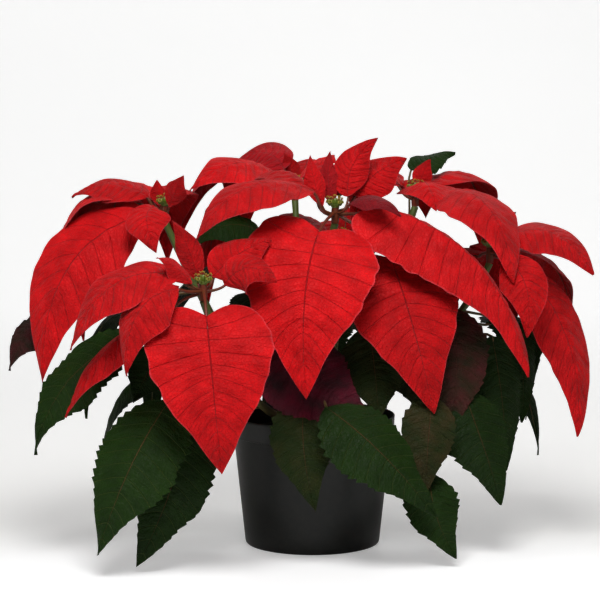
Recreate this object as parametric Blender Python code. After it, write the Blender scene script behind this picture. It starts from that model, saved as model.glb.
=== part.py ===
"""A potted poinsettia: a plastic nursery pot, soil, a woody trunk, seven leafy branches, and on the end
of each branch a head of red bracts round a cluster of small yellow-green flowers.

Lengths are written in millimetres and turned to metres where a mesh is made. The origin is the middle of
the pot's base, +Z is up, and the plant's front faces -Y.
"""

import math
import random
from collections import namedtuple

import bmesh
import bpy
from mathutils import Matrix, Vector

for old in list(bpy.data.objects):
    bpy.data.objects.remove(old, do_unlink=True)

# Driving dimensions, in millimetres
MM = 0.001
GAP = 0.3
POT_HEIGHT = 118.0
RIM_RADIUS = 75.0
BASE_RADIUS = 61.0
POT_WALL = 1.6
POT_FLOOR = 2.4
COLLAR_HEIGHT = 18.0
COLLAR_STEP = 1.4
POT_SIDES = 32
DRAIN_HOLES = 6
DRAIN_HOLE_RADIUS = 4.0
SOIL_BELOW_RIM = 20.0
TRUNK_RADIUS = 7.0
TRUNK_DEPTH = 45.0
TRUNK_TOP = 140.0
TRUNK_SIDES = 12
STEM_RADIUS = 3.6
STEM_SIDES = 7
STEM_POINTS = 7
COLLAR_LENGTH = 14.0
STALK_RADIUS = 1.5
STALK_SIDES = 3
BRACT_THICKNESS = 0.9
LEAF_THICKNESS = 0.9
STALK_RING = 2.0
FACE_UP = (0, 0, 1)

# Outlines of one half of a blade, from its base to its tip: share of the half width, share of the
# length, and where the side vein that ends there leaves the midrib, as a share of the length
OUTLINES = {
    "heart": ((0.36, -0.09, 0.03), (0.76, -0.05, 0.07), (0.99, 0.13, 0.15), (0.95, 0.35, 0.27),
              (0.68, 0.61, 0.46), (0.33, 0.83, 0.70)),
    "oval": ((0.36, 0.05, 0.03), (0.80, 0.20, 0.11), (1.0, 0.41, 0.25), (0.80, 0.64, 0.46),
             (0.40, 0.84, 0.70)),
    "slip": ((0.60, 0.16, 0.07), (1.0, 0.45, 0.28), (0.62, 0.74, 0.58)),
    "leaf": ((0.46, 0.04, 0.03), (0.90, 0.19, 0.11), (1.0, 0.37, 0.26), (0.86, 0.57, 0.46),
             (0.54, 0.75, 0.67)),
}

# base, crest and tip of a blade's midrib, its full width, the outline's name, the way its upper face
# looks, the fold along the midrib in degrees (edges down when positive) and how high its edge waves
Blade = namedtuple("Blade", "base crest tip width outline face fold wave")


def bent(shape, bend):
    """The blade with its tip pushed by its neighbours: towards its face, or away from it when negative."""
    push = shape.face * bend
    return shape._replace(crest=shape.crest + push * 0.55, tip=shape.tip + push)


def blade(base, crest, tip, width, outline="oval", face=None, fold=12, wave=1.5, bend=0):
    """A blade placed by hand. Its upper face looks up and away from its base unless the row says more."""
    base, crest, tip = Vector(base), Vector(crest), Vector(tip)
    if face is None:
        out = Vector((tip.x - base.x, tip.y - base.y, 0)).normalized()
        face = out * 0.7 + Vector(FACE_UP)
    return bent(Blade(base, crest, tip, width, outline, Vector(face).normalized(), fold, wave), bend)


def spread(root, azimuth, reach, rise, drop, width, outline="oval", stalk=22, fold=14, bend=0):
    """A blade placed by its compass direction: it rises to its crest and falls past its root's height."""
    turn = math.radians(azimuth)
    out = Vector((math.cos(turn), math.sin(turn), 0))
    base = Vector(root) + out * stalk + Vector((0, 0, 0.35 * rise))
    crest = Vector(root) + out * (stalk + 0.45 * (reach - stalk)) + Vector((0, 0, rise))
    tip = Vector(root) + out * reach - Vector((0, 0, drop))
    face = (out * 0.7 + Vector(FACE_UP)).normalized()
    return bent(Blade(base, crest, tip, width, outline, face, fold, 1.5), bend)


# Heads of bracts: where each sits, and its bracts from the largest to the youngest
FRONT = (0, -1, 0.25)
HEADS = {
    "a": (Vector((20, -20, 300)), [
        blade((5, -60, 288), (-3, -88, 262), (-6, -122, 150), 118, "heart", (0, -1, 0.6), 6),
        blade((70, -36, 262), (78, -58, 238), (106, -84, 131), 102, "heart", (0.1, -1, 0.5), 10),
        blade((60, -36, 309), (116, -48, 290), (192, -74, 168), 98, "heart", (0.35, -0.45, 0.8), 32, bend=-8),
        blade((2, -34, 322), (-42, -52, 331), (-101, -80, 283), 72, "oval", (-0.1, -0.35, 1), 14),
        blade((32, -8, 316), (34, 4, 338), (59, 12, 368), 34, "oval", FRONT, 16),
        blade((38, 4, 316), (60, 18, 337), (86, 32, 348), 44, "oval", (0.1, -0.8, 0.6), 16),
        blade((32, -34, 311), (50, -50, 316), (77, -64, 302), 22, "slip", (0, -0.7, 0.8), 20),
        blade((18, -8, 309), (14, -2, 333), (16, 8, 356), 19, "slip", FRONT, 18),
        blade((9, -16, 308), (1, -12, 332), (-2, -2, 352), 20, "slip", FRONT, 18),
        spread((20, -20, 304), 150, 88, 34, -20, 52),
        spread((20, -20, 304), 78, 84, 34, -16, 46),
    ]),
    "b": (Vector((-94, -110, 240)), [
        blade((-90, -141, 223), (-87, -158, 199), (-77, -164, 93), 107, "heart", (0.05, -1, 0.5), 5),
        blade((-113, -118, 255), (-149, -126, 257), (-206, -130, 193), 62, "oval", (-0.4, -0.6, 0.8), 14),
        blade((-114, -132, 246), (-136, -148, 239), (-157, -154, 174), 54, "oval", (-0.5, -0.9, 0.5), 26),
        blade((-122, -104, 226), (-166, -104, 201), (-213, -110, 132), 44, "oval", (-0.6, -0.5, 0.7), 24),
        blade((-99, -100, 248), (-106, -101, 274), (-120, -108, 301), 24, "slip", FRONT, 18),
        blade((-104, -116, 248), (-116, -122, 262), (-132, -130, 272), 22, "slip", (0, -0.7, 0.7), 18),
        blade((-86, -98, 252), (-66, -88, 270), (-36, -74, 282), 50, "oval", (0, -0.8, 0.8), 16),
        blade((-76, -104, 246), (-58, -111, 261), (-31, -118, 250), 46, "oval", (0.2, -0.8, 0.8), 16),
    ]),
    "c": (Vector((161, 10, 262)), [
        blade((172, -16, 262), (186, -38, 246), (189, -52, 194), 44, "oval", (0.1, -1, 0.3), 8),
        blade((172, 4, 277), (200, -2, 288), (252, -18, 250), 66, "oval", (0.05, -0.4, 1), 14, bend=-4),
        blade((182, 35, 266), (216, 52, 256), (243, 60, 190), 64, "oval", None, 14),
        blade((192, 4, 250), (218, -2, 214), (239, -20, 100), 58, "oval", (0.6, -0.9, 0.4), 12),
        blade((166, 21, 270), (174, 22, 288), (186, 20, 302), 20, "slip", FRONT, 18, bend=-8),
        spread((161, 10, 260), 76, 100, 8, 108, 68, bend=4),
        spread((161, 10, 258), 114, 86, 6, 96, 58),
    ]),
    "d": (Vector((-133, 0, 300)), [
        blade((-150, -16, 300), (-188, -32, 284), (-240, -44, 153), 86, "oval", (-0.4, -0.9, 0.5), 14),
        blade((-148, 0, 315), (-178, 6, 326), (-218, 12, 314), 50, "oval", (-0.1, -0.4, 1), 14),
        blade((-141, -26, 308), (-146, -46, 302), (-137, -62, 270), 42, "oval", (-0.2, -1, 0.5), 10),
        blade((-128, -16, 308), (-122, -24, 322), (-115, -30, 336), 22, "slip", FRONT, 20),
        blade((-138, 11, 307), (-140, 13, 318), (-141, 14, 330), 16, "slip", FRONT, 18),
        spread((-133, 0, 302), 166, 110, 22, 76, 74, bend=-12),
        spread((-133, 0, 302), 124, 108, 24, 64, 74),
        spread((-133, 0, 302), 92, 92, 28, 40, 62, bend=-16),
        spread((-133, 0, 296), 146, 96, 6, 118, 66),
    ]),
    "e": (Vector((-16, 115, 312)), [
        blade((-34, 92, 331), (-60, 72, 343), (-113, 50, 318), 72, "oval", (-0.1, -0.5, 1), 12),
        blade((-26, 124, 334), (-40, 140, 348), (-74, 160, 340), 44, "oval", (-0.2, -0.6, 0.8), 12),
        blade((-8, 100, 328), (0, 84, 342), (22, 60, 344), 50, "oval", (0, -0.6, 1), 12),
        spread((-16, 115, 314), 164, 120, 24, 60, 76),
        spread((-16, 115, 314), 118, 118, 24, 70, 80, bend=8),
        blade((-18, 127, 320), (-21, 128, 336), (-26, 126, 350), 20, "slip", FRONT, 18),
        spread((-16, 115, 306), 196, 96, 8, 40, 58),
        spread((-16, 115, 308), 140, 112, 8, 110, 74),
        spread((-16, 115, 312), 74, 84, 30, 8, 60),
    ]),
    "f": (Vector((97, 90, 308)), [
        blade((112, 58, 316), (142, 20, 308), (172, -34, 226), 76, "oval", (0.3, -0.5, 0.8), 16, bend=20),
        blade((84, 74, 322), (72, 56, 330), (66, 36, 318), 44, "oval", (0, -0.7, 0.8), 12),
        spread((97, 90, 304), 22, 100, 12, 70, 66),
        spread((97, 90, 310), 48, 112, 22, 74, 74),
        spread((97, 90, 310), 128, 92, 26, 40, 62),
        blade((101, 102, 316), (105, 105, 331), (112, 106, 345), 20, "slip", FRONT, 18),
        spread((97, 90, 304), 80, 84, 22, 20, 58),
        blade((100, 66, 318), (104, 42, 326), (112, 8, 302), 58, "oval", (0.1, -0.7, 0.9), 14),
    ]),
    "g": (Vector((30, 178, 256)), [
        spread((30, 178, 258), 92, 94, 20, 116, 96, "oval"),
        spread((30, 178, 258), 142, 98, 24, 92, 84, "oval", bend=8),
        spread((30, 178, 258), 38, 102, 26, 86, 80, "oval", bend=4),
        spread((30, 178, 258), 186, 92, 28, 44, 60),
        spread((30, 178, 258), 352, 88, 28, 38, 60),
        blade((32, 190, 264), (34, 194, 280), (36, 200, 296), 20, "slip", (0, 1, 0.25), 18),
        spread((30, 178, 264), 66, 76, 30, 10, 46, bend=-4),
    ]),
}

# Green leaves of each branch, with the share of the branch's length at which each stalk leaves it
LEAVES = {
    "a": [
        (0.62, blade((-7, -82, 147), (-9, -101, 122), (2, -108, 50), 58, "leaf", FRONT, 12, 2.5)),
        (0.55, blade((12, -95, 138), (38, -116, 121), (105, -124, 48),
                     70, "leaf", (0.3, -1, 0.7), 12, 2.5)),
        (0.74, blade((-34, -58, 194), (-8, -76, 168), (51, -90, 126), 84, "leaf", (0.2, -1, 0.6), 10, 2.5)),
        (0.74, blade((50, -32, 200), (54, -47, 172), (58, -64, 122), 60, "leaf", FRONT, 12, 2.5)),
    ],
    "b": [
        (0.45, blade((-124, -108, 146), (-145, -136, 114), (-183, -148, 20),
                     80, "leaf", (-0.4, -1, 0.3), 10, 2.5)),
        (0.38, blade((-108, -94, 128), (-114, -116, 98), (-152, -128, 5),
                     68, "leaf", (0.2, -1, 0.3), 10, 2.5)),
        (0.62, blade((-158, -66, 196), (-196, -74, 176), (-244, -80, 94),
                     62, "leaf", (-0.5, -0.8, 0.6), 12, 3.5)),
        (0.55, blade((-136, -62, 188), (-146, -72, 164), (-157, -80, 140), 40, "leaf", FRONT, 12, 2.5)),
    ],
    "c": [
        (0.60, blade((105, -70, 144), (102, -88, 124), (98, -98, 63),
                     48, "leaf", (0.1, -1, 0.3), 10, 2.5, bend=-4)),
        (0.45, blade((103, -78, 78), (104, -98, 56), (124, -108, 8), 50, "leaf", (0.2, -1, 0.4), 10, 2.5)),
        (0.55, blade((134, -40, 144), (145, -55, 115), (166, -72, 48),
                     64, "leaf", (0.4, -1, 0.4), 12, 2.5)),
        (0.66, blade((162, -6, 190), (170, -18, 139), (174, -30, 71), 48, "leaf", (0.4, -1, 0.3), 12, 2.5)),
        (0.78, blade((186, 16, 196), (191, 10, 164), (191, 4, 109), 34, "leaf", (0.4, -1, 0.3), 12, 2.5)),
        (0.70, spread((150, 30, 190), 52, 96, 16, 84, 60, "leaf", bend=-12)),
        (0.72, blade((126, -22, 216), (128, -40, 176), (121, -54, 108),
                     60, "leaf", (0.1, -1, 0.3), 12, 2.5)),
        (0.50, spread((110, 10, 150), 24, 112, 8, 80, 60, "leaf")),
        (0.62, blade((84, -20, 205), (92, -36, 172), (108, -52, 122),
                     58, "leaf", (0.2, -1, 0.4), 12, 2.5, bend=-12)),
    ],
    "d": [
        (0.72, blade((-222, -2, 208), (-244, -8, 202), (-273, -18, 160),
                     48, "leaf", (-0.5, -0.8, 0.6), 12, 2.5)),
        (0.60, spread((-110, 20, 200), 160, 108, 12, 96, 64, "leaf")),
        (0.50, spread((-90, 20, 170), 128, 104, 10, 96, 64, "leaf")),
        (0.42, spread((-80, 0, 150), 186, 112, 8, 100, 62, "leaf")),
    ],
    "e": [
        (0.74, spread((-30, 104, 236), 152, 132, 6, 92, 66, "leaf")),
        (0.60, spread((-20, 90, 210), 112, 128, 8, 104, 66, "leaf")),
        (0.76, blade((-50, 66, 280), (-76, 56, 286), (-108, 44, 266),
                     44, "leaf", (-0.1, -0.6, 0.8), 12, 2)),
    ],
    "f": [
        (0.90, blade((94, 118, 334), (112, 126, 343), (138, 138, 350), 32, "leaf", (0.1, -0.5, 1), 12, 2)),
        (0.55, spread((70, 70, 190), 62, 128, 8, 110, 64, "leaf")),
        (0.40, spread((50, 60, 150), 42, 116, 8, 96, 62, "leaf")),
    ],
    "g": [
        (0.60, spread((20, 120, 180), 98, 108, 6, 112, 68, "leaf")),
        (0.52, spread((16, 100, 160), 140, 108, 6, 110, 66, "leaf")),
        (0.68, spread((24, 130, 190), 60, 104, 8, 104, 64, "leaf")),
        (0.36, spread((10, 70, 130), 116, 96, 6, 96, 60, "leaf")),
    ],
}
TRUNK_HEIGHTS = {"a": 118.0, "b": 112.0, "c": 130.0, "d": 126.0, "e": 129.0, "f": 118.0, "g": 107.0}


def material(name, hex_colour, roughness, metallic=0.0):
    """A Principled material of one sRGB colour."""
    made = bpy.data.materials.new(name)
    made.use_nodes = True
    shader = made.node_tree.nodes["Principled BSDF"]
    channels = [int(hex_colour[i:i + 2], 16) / 255 for i in (0, 2, 4)]
    linear = [c / 12.92 if c <= 0.04045 else ((c + 0.055) / 1.055) ** 2.4 for c in channels]
    shader.inputs["Base Color"].default_value = (*linear, 1)
    shader.inputs["Roughness"].default_value = roughness
    shader.inputs["Metallic"].default_value = metallic
    return made


BLACK_PLASTIC = material("black_nursery_pot_plastic", "1E1F1C", 0.4)
POTTING_SOIL = material("peat_potting_soil", "2A1D14", 0.95)
WOODY_BARK = material("woody_trunk_bark", "5A4632", 0.85)
GREEN_LEAF = material("dark_green_leaf", "1E3618", 0.55)
RED_BRACT = material("red_bract", "C81A22", 0.5)
GREEN_FLOWER = material("yellow_green_cyathium", "8A9A30", 0.6)


def make_object(name, points, faces, finish, smooth=False):
    """A mesh object from points in millimetres, with its faces turned outwards."""
    mesh = bpy.data.meshes.new(name)
    mesh.from_pydata([Vector(p) * MM for p in points], [], faces)
    mesh.materials.append(finish)
    shape = bmesh.new()
    shape.from_mesh(mesh)
    bmesh.ops.recalc_face_normals(shape, faces=shape.faces)
    shape.to_mesh(mesh)
    shape.free()
    if smooth:
        mesh.shade_smooth()
        mesh.set_sharp_from_angle(angle=math.radians(35))
    thing = bpy.data.objects.new(name, mesh)
    bpy.context.scene.collection.objects.link(thing)
    return thing


def turned(name, profile, sides, finish):
    """A solid of revolution round Z: the profile runs in (radius, height) pairs and may end on the axis."""
    shape = bmesh.new()
    ends = [shape.verts.new(Vector((r, 0, z)) * MM) for r, z in profile]
    edges = [shape.edges.new(pair) for pair in zip(ends, ends[1:])]
    if profile[0][0] > 0:
        edges.append(shape.edges.new((ends[-1], ends[0])))
    bmesh.ops.spin(shape, geom=ends + edges, cent=(0, 0, 0), axis=(0, 0, 1), angle=math.tau, steps=sides)
    bmesh.ops.remove_doubles(shape, verts=shape.verts, dist=1e-5)
    bmesh.ops.recalc_face_normals(shape, faces=shape.faces)
    mesh = bpy.data.meshes.new(name)
    shape.to_mesh(mesh)
    shape.free()
    mesh.materials.append(finish)
    mesh.shade_smooth()
    mesh.set_sharp_from_angle(angle=math.radians(35))
    thing = bpy.data.objects.new(name, mesh)
    bpy.context.scene.collection.objects.link(thing)
    return thing


def apply_boolean(thing, others, operation):
    """One Boolean of the object with all the others, applied, and the others removed."""
    group = bpy.data.collections.new(thing.name + "_parts")
    bpy.context.scene.collection.children.link(group)
    for other in others:
        group.objects.link(other)
        bpy.context.scene.collection.objects.unlink(other)
    join = thing.modifiers.new("join", "BOOLEAN")
    join.operation = operation
    join.operand_type = "COLLECTION"
    join.collection = group
    join.solver = "EXACT" if operation == "DIFFERENCE" else "MANIFOLD"
    bpy.context.view_layer.update()
    graph = bpy.context.evaluated_depsgraph_get()
    result = bpy.data.meshes.new_from_object(thing.evaluated_get(graph))
    thing.modifiers.clear()
    thing.data = result
    for other in others:
        bpy.data.objects.remove(other, do_unlink=True)
    bpy.data.collections.remove(group)


def pot_radius(height):
    """The outer radius of the pot's plain wall at a height."""
    return BASE_RADIUS + (RIM_RADIUS - COLLAR_STEP - BASE_RADIUS) * height / POT_HEIGHT


def make_pot():
    """A thin-walled tapered pot with a wider collar at the rim and drain holes in its floor."""
    collar_foot = POT_HEIGHT - COLLAR_HEIGHT
    profile = [
        (0, 0),
        (BASE_RADIUS - 1.5, 0),
        (BASE_RADIUS, 1.5),
        (pot_radius(collar_foot), collar_foot),
        (RIM_RADIUS - 0.6, collar_foot + 1.2),
        (RIM_RADIUS, POT_HEIGHT - 1.0),
        (RIM_RADIUS - 0.8, POT_HEIGHT),
        (RIM_RADIUS - POT_WALL, POT_HEIGHT),
        (pot_radius(collar_foot) - POT_WALL, collar_foot - 1.0),
        (BASE_RADIUS + 0.3 - POT_WALL, POT_FLOOR),
        (0, POT_FLOOR),
    ]
    pot = turned("pot", profile, POT_SIDES, BLACK_PLASTIC)
    drills = []
    for i in range(DRAIN_HOLES):
        turn = math.tau * (i + 0.5) / DRAIN_HOLES
        place = Matrix.Translation(Vector((42 * math.cos(turn), 42 * math.sin(turn), 1)) * MM)
        shape = bmesh.new()
        bmesh.ops.create_cone(
            shape, cap_ends=True, segments=10, radius1=DRAIN_HOLE_RADIUS * MM,
            radius2=DRAIN_HOLE_RADIUS * MM, depth=20 * MM, matrix=place,
        )
        mesh = bpy.data.meshes.new("drill")
        shape.to_mesh(mesh)
        shape.free()
        drill = bpy.data.objects.new("drill", mesh)
        bpy.context.scene.collection.objects.link(drill)
        drills.append(drill)
    apply_boolean(pot, drills, "DIFFERENCE")
    return pot


def make_soil():
    """The soil: a plug the shape of the pot's inside, lumpy on top, with a plain hole for the trunk."""
    top = POT_HEIGHT - SOIL_BELOW_RIM
    inner = pot_radius(top) - POT_WALL - GAP - 0.4
    hole = TRUNK_RADIUS + GAP
    profile = [
        (0, top - TRUNK_DEPTH),
        (hole, top - TRUNK_DEPTH),
        (hole, top + 2),
        (22, top + 3.5),
        (40, top + 1),
        (58, top + 1.5),
        (inner, top - 2),
        (BASE_RADIUS - POT_WALL - GAP - 0.6, POT_FLOOR + GAP + 0.1),
        (0, POT_FLOOR + GAP + 0.1),
    ]
    soil = turned("soil", profile, 24, POTTING_SOIL)
    lumps = random.Random(7)
    for vertex in soil.data.vertices:
        radius = vertex.co.xy.length / MM
        if vertex.co.z / MM > top and radius > hole + 1:
            vertex.co.z += lumps.uniform(-1.2, 1.2) * MM
    return soil


def make_trunk():
    """The trunk: straight where the branches meet it, so that each lies against one flat side."""
    foot = POT_HEIGHT - SOIL_BELOW_RIM - TRUNK_DEPTH + GAP
    rings = [(foot, TRUNK_RADIUS), (TRUNK_TOP - 3, TRUNK_RADIUS), (TRUNK_TOP, TRUNK_RADIUS - 2.5)]
    points = []
    for height, radius in rings:
        for side in range(TRUNK_SIDES):
            turn = math.tau * side / TRUNK_SIDES
            points.append((radius * math.cos(turn), radius * math.sin(turn), height))
    faces = [tuple(range(TRUNK_SIDES)), tuple(range(2 * TRUNK_SIDES, 3 * TRUNK_SIDES))]
    for ring in range(2):
        for side in range(TRUNK_SIDES):
            after = (side + 1) % TRUNK_SIDES
            low, high = ring * TRUNK_SIDES, (ring + 1) * TRUNK_SIDES
            faces.append((low + side, low + after, high + after, high + side))
    return make_object("main_stem", points, faces, WOODY_BARK, smooth=True)


def tube(path, radii, sides, first_way=None, last_way=None):
    """Points and triangles of a closed tube along a path; its end rings may face a way of their own."""
    points, faces = [], []
    across = None
    for i, centre in enumerate(path):
        ahead = path[min(i + 1, len(path) - 1)]
        behind = path[max(i - 1, 0)]
        along = (ahead - behind).normalized()
        if i == 0 and first_way:
            along = first_way
        if i == len(path) - 1 and last_way:
            along = last_way
        across = across or (Vector((0, 0, 1)) if abs(along.z) < 0.8 else Vector((1, 0, 0)))
        across = (across - along * across.dot(along)).normalized()
        beside = along.cross(across)
        for side in range(sides):
            turn = math.tau * side / sides
            points.append(centre + (across * math.cos(turn) + beside * math.sin(turn)) * radii[i])
    for ring in range(len(path) - 1):
        for side in range(sides):
            a, b = ring * sides + side, ring * sides + (side + 1) % sides
            faces += [(a, b, b + sides), (a, b + sides, a + sides)]
    last = (len(path) - 1) * sides
    for side in range(1, sides - 1):
        faces.append((0, side + 1, side))
        faces.append((last, last + side, last + side + 1))
    return points, faces


def branch_path(name):
    """The line of a branch: out of one flat side of the trunk, then up to its head."""
    hub = HEADS[name][0]
    flat = math.tau / TRUNK_SIDES
    turn = (round(math.atan2(hub.y, hub.x) / flat - 0.5) + 0.5) * flat
    out = Vector((math.cos(turn), math.sin(turn), 0))
    apothem = TRUNK_RADIUS * math.cos(flat / 2)
    start = out * (apothem + GAP) + Vector((0, 0, TRUNK_HEIGHTS[name]))
    end = hub - Vector((0, 0, COLLAR_LENGTH / 2 + GAP))
    reach = Vector((end.x, end.y, 0)).length
    lean = Vector((end.x, end.y, 0)).normalized() * 0.45 + Vector((0, 0, 1))
    first, second = start + out * (0.3 * reach + 8), end - lean * 70
    path = []
    for i in range(STEM_POINTS):
        t = i / (STEM_POINTS - 1)
        path.append(start * (1 - t) ** 3 + first * 3 * t * (1 - t) ** 2
                    + second * 3 * t * t * (1 - t) + end * t ** 3)
    return path


def along_path(path, share):
    """The point at a share of a path."""
    place = share * (len(path) - 1)
    step = min(int(place), len(path) - 2)
    return path[step].lerp(path[step + 1], place - step)


def midrib(shape, share):
    """The midrib's point and direction at a share of its length; past the base it runs on straight."""
    first = (shape.crest - shape.base).length
    turn = first / (first + (shape.tip - shape.crest).length)
    t = max(share, 0.0)
    point = (shape.base * ((t - turn) * (t - 1) / turn)
             + shape.crest * (t * (t - 1) / (turn * (turn - 1)))
             + shape.tip * (t * (t - turn) / (1 - turn)))
    along = (shape.base * ((2 * t - turn - 1) / turn)
             + shape.crest * ((2 * t - 1) / (turn * (turn - 1)))
             + shape.tip * ((2 * t - turn) / (1 - turn)))
    if share < 0:
        point = point + along * share
    return point, along.normalized()


def on_blade(shape, side, reach, share, lift):
    """A point of a blade: side -1 to 1 across it, reach the edge's half width there, share of its length."""
    point, along = midrib(shape, share)
    normal = (shape.face - along * shape.face.dot(along)).normalized()
    across = along.cross(normal)
    fold = math.radians(shape.fold)
    out = abs(side) * reach
    wave = shape.wave * side * side * math.sin(9 * share + (1.5 if side > 0 else 0))
    return (point + across * math.copysign(out * math.cos(fold), side)
            + normal * (wave - out * math.sin(fold) + lift))


def blade_mesh(shape, thickness):
    """Points and triangles of a closed blade, split alike on its two faces."""
    rows = OUTLINES[shape.outline]
    sides = (-1, -0.5, 0, 0.5, 1) if shape.outline == "heart" else (-1, 0, 1)
    half, count = shape.width / 2, len(sides)
    points = []
    for lift in (thickness / 2, -thickness / 2):
        points.append(on_blade(shape, 0, 0, 0, lift))
        for out, edge, vein in rows:
            for side in sides:
                share = vein + (edge - vein) * abs(side)
                points.append(on_blade(shape, side, out * half, share, lift))
        points.append(on_blade(shape, 0, 0, 1, lift))
    top = []
    last = 1 + len(rows) * count
    for i in range(count - 1):
        top.append((0, 1 + i, 2 + i))
        for row in range(len(rows) - 1):
            a = 1 + row * count + i
            b, c, d = a + 1, a + count + 1, a + count
            top += [(a, c, b), (a, d, c)] if sides[i] < 0 else [(a, d, b), (b, d, c)]
        end = 1 + (len(rows) - 1) * count + i
        top.append((end, last, end + 1))
    total = last + 1
    faces = top + [(c + total, b + total, a + total) for a, b, c in top]
    left = [0] + [1 + row * count for row in range(len(rows))] + [last]
    right = [0] + [row * count + count for row in range(len(rows))] + [last]
    for edge, turned_round in ((left, False), (right, True)):
        for a, b in zip(edge, edge[1:]):
            wall = [(a, b, b + total), (a, b + total, a + total)]
            faces += [w[::-1] for w in wall] if turned_round else wall
    return points, faces


def stalk_mesh(root, shape):
    """Points and triangles of the stalk from its root to a short way along the blade's underside."""
    inside, along = midrib(shape, 0.10)
    reach = shape.base - root
    middle = root + Vector((reach.x * 0.65, reach.y * 0.65, reach.z * (0.3 if reach.z > 0 else 0.5)))
    size = min(1.0, 0.5 + shape.width / 60) * STALK_RADIUS
    if reach.length < 12:
        return tube([root, shape.base, inside], [size, size * 0.85, size * 0.6], STALK_SIDES)
    return tube([root, middle, shape.base, inside], [size, size * 0.9, size * 0.85, size * 0.6], STALK_SIDES)


def ball(centre, radius, height, sides, rings):
    """Points and faces of a small egg standing on its end."""
    points, faces = [centre - Vector((0, 0, height / 2))], []
    for ring in range(1, rings):
        lean = math.pi * ring / rings
        for side in range(sides):
            turn = math.tau * side / sides
            spoke = Vector((math.cos(turn), math.sin(turn), 0)) * radius * math.sin(lean)
            points.append(centre + spoke - Vector((0, 0, height / 2 * math.cos(lean))))
    points.append(centre + Vector((0, 0, height / 2)))
    top = len(points) - 1
    for side in range(sides):
        after = (side + 1) % sides
        faces.append((0, 1 + after, 1 + side))
        for ring in range(rings - 2):
            a, b = 1 + ring * sides + side, 1 + ring * sides + after
            faces += [(a, b, b + sides), (a, b + sides, a + sides)]
        faces.append((top, top - sides + side, top - sides + after))
    return points, faces


def fuse(name, shapes, finish):
    """One object of several overlapping closed shapes, joined in one solid."""
    first, *others = [make_object(f"{name}_{i}", *shape, finish) for i, shape in enumerate(shapes)]
    first.name = name
    if others:
        apply_boolean(first, others, "UNION")
    first.data.name = name
    return first


def make_cyathia(name, hub):
    """The flower cluster: a low pad with small egg-shaped cups standing on it in a ring and one inside."""
    foot = hub + Vector((0, 0, COLLAR_LENGTH / 2 + GAP))
    pad = tube([foot, foot + Vector((0, 0, 3))], [3.4, 4.4], 6)
    shapes = [pad, ball(foot + Vector((0, 0, 7)), 2.7, 10, 4, 3)]
    cups = random.Random(name)
    for i in range(4):
        turn = math.tau * (i + cups.uniform(-0.15, 0.15)) / 4
        out = Vector((math.cos(turn), math.sin(turn), 0)) * 4.6
        shapes.append(ball(foot + out + Vector((0, 0, 5 + cups.uniform(-0.5, 1))), 2.5, 8, 4, 3))
    return fuse("cyathia_" + name, shapes, GREEN_FLOWER)


def make_bracts(name, hub, rows):
    """A head: the green top of its branch as a short collar, and round it the bracts on their stalks."""
    half = Vector((0, 0, COLLAR_LENGTH / 2))
    shapes = [tube([hub - half, hub, hub + half], [3.4, 3.8, 3.2], 8)]
    for i, shape in enumerate(rows):
        out = Vector((shape.base.x - hub.x, shape.base.y - hub.y, 0)).normalized()
        root = hub + out * STALK_RING + Vector((0, 0, 3 - i % 5))
        shapes += [stalk_mesh(root, shape), blade_mesh(shape, BRACT_THICKNESS)]
    return fuse("bracts_" + name, shapes, RED_BRACT)


def make_branch(name, rows):
    """A branch: its stem, level under its head and upright against the trunk, and its stalked leaves."""
    path = branch_path(name)
    radii = [STEM_RADIUS * (1.1 - 0.25 * i / (STEM_POINTS - 1)) for i in range(STEM_POINTS)]
    out = path[1] - path[0]
    out = Vector((out.x, out.y, 0)).normalized()
    shapes = [tube(path, radii, STEM_SIDES, out, Vector(FACE_UP))]
    for share, shape in rows:
        shapes += [stalk_mesh(along_path(path, share), shape), blade_mesh(shape, LEAF_THICKNESS)]
    return fuse("branch_" + name, shapes, GREEN_LEAF)


def main():
    make_pot()
    make_soil()
    make_trunk()
    for name, (hub, rows) in HEADS.items():
        make_branch(name, LEAVES[name])
        make_bracts(name, hub, rows)
        make_cyathia(name, hub)


main()
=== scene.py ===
"""The looks of a potted poinsettia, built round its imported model.

Lengths are in metres, and rows of leaf points in millimetres. The pot comes first, then what grows out
of it from the soil up, and the studio last.
"""

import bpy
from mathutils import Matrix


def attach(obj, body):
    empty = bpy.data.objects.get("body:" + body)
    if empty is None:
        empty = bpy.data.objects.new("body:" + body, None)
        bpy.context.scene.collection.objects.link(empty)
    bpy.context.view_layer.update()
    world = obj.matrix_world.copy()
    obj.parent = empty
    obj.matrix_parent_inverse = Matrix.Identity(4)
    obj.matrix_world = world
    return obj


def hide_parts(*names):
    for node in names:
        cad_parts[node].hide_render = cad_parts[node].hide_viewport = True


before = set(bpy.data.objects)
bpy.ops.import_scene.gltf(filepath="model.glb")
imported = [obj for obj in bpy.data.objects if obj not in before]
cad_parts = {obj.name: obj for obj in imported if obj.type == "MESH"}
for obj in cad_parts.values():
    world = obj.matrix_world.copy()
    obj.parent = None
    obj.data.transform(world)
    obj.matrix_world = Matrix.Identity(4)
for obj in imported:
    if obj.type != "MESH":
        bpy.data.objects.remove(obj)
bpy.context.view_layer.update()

import math
import random
from collections import namedtuple

import bpy
from mathutils import Matrix, Vector, noise


# The nursery pot. Thin polypropylene, injection moulded in one piece, charcoal black with a wider collar
# at the rim and drain holes in the floor. It is semi-matt, with the faint ripple that moulded walls keep.
POT_HEIGHT, RIM_RADIUS, BASE_RADIUS = 0.118, 0.075, 0.061
POT_WALL, COLLAR_HEIGHT, COLLAR_STEP = 0.0016, 0.018, 0.0014
POT_SIDES = 160
DRAIN_HOLES, DRAIN_RING, DRAIN_RADIUS = 6, 0.042, 0.004


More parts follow.
